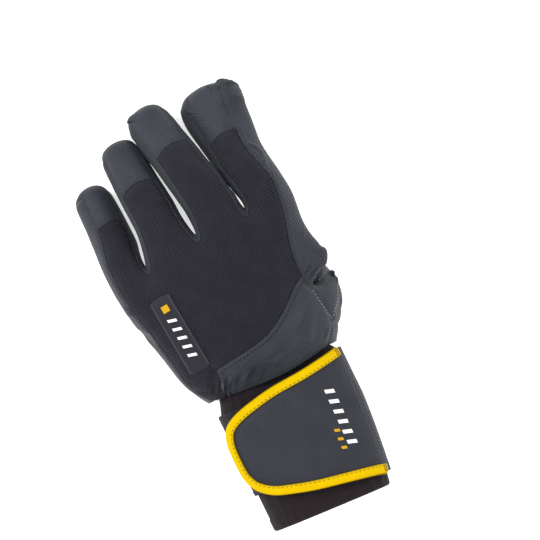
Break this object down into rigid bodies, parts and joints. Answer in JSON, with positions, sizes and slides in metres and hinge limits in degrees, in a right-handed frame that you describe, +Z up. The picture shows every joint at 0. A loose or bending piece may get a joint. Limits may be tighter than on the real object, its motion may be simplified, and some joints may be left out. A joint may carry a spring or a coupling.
{
  "type": "anti vibration glove",
  "caption": "Left-hand work glove with ribbed knit back, dimpled padded palm, capped fingertips, knitted cuff and a wrist strap with a rounded tongue, lying palm down.",
  "frame": {"origin": "middle of the glove's outline on the surface that it lies on", "axes": "+Y from the cuff to the fingertips, +X to the thumb side, +Z up out of the back of the hand"},
  "size_m": [0.1133, 0.2445, 0.062],
  "materials": {
    "rib_knit": "fine ribbed knit",
    "grey_leather": "smooth synthetic leather",
    "dimpled_leather": "dimpled synthetic leather",
    "side_cloth": "matte cloth",
    "cuff_knit": "matte knit",
    "hook_loop": "looped pile",
    "strap_cloth": "fine embossed cloth",
    "binding_tape": "woven tape",
    "patch_rubber": "matte rubber"
  },
  "bodies": {
    "root": {"back_panel": "rib_knit", "tip_cap_index": "grey_leather", "tip_cap_middle": "grey_leather", "tip_cap_ring": "grey_leather", "tip_cap_little": "grey_leather", "saddle_panel": "grey_leather", "thumb_back": "grey_leather", "palm_radial": "dimpled_leather", "palm_ulnar": "dimpled_leather", "thumb_front": "dimpled_leather", "fourchette_little_ring": "side_cloth", "fourchette_ring_middle": "side_cloth", "fourchette_middle_index": "side_cloth", "cuff": "cuff_knit", "loop_patch": "hook_loop", "strap": "strap_cloth", "strap_binding": "binding_tape", "label_patch": "patch_rubber"}
  },
  "joints": []
}
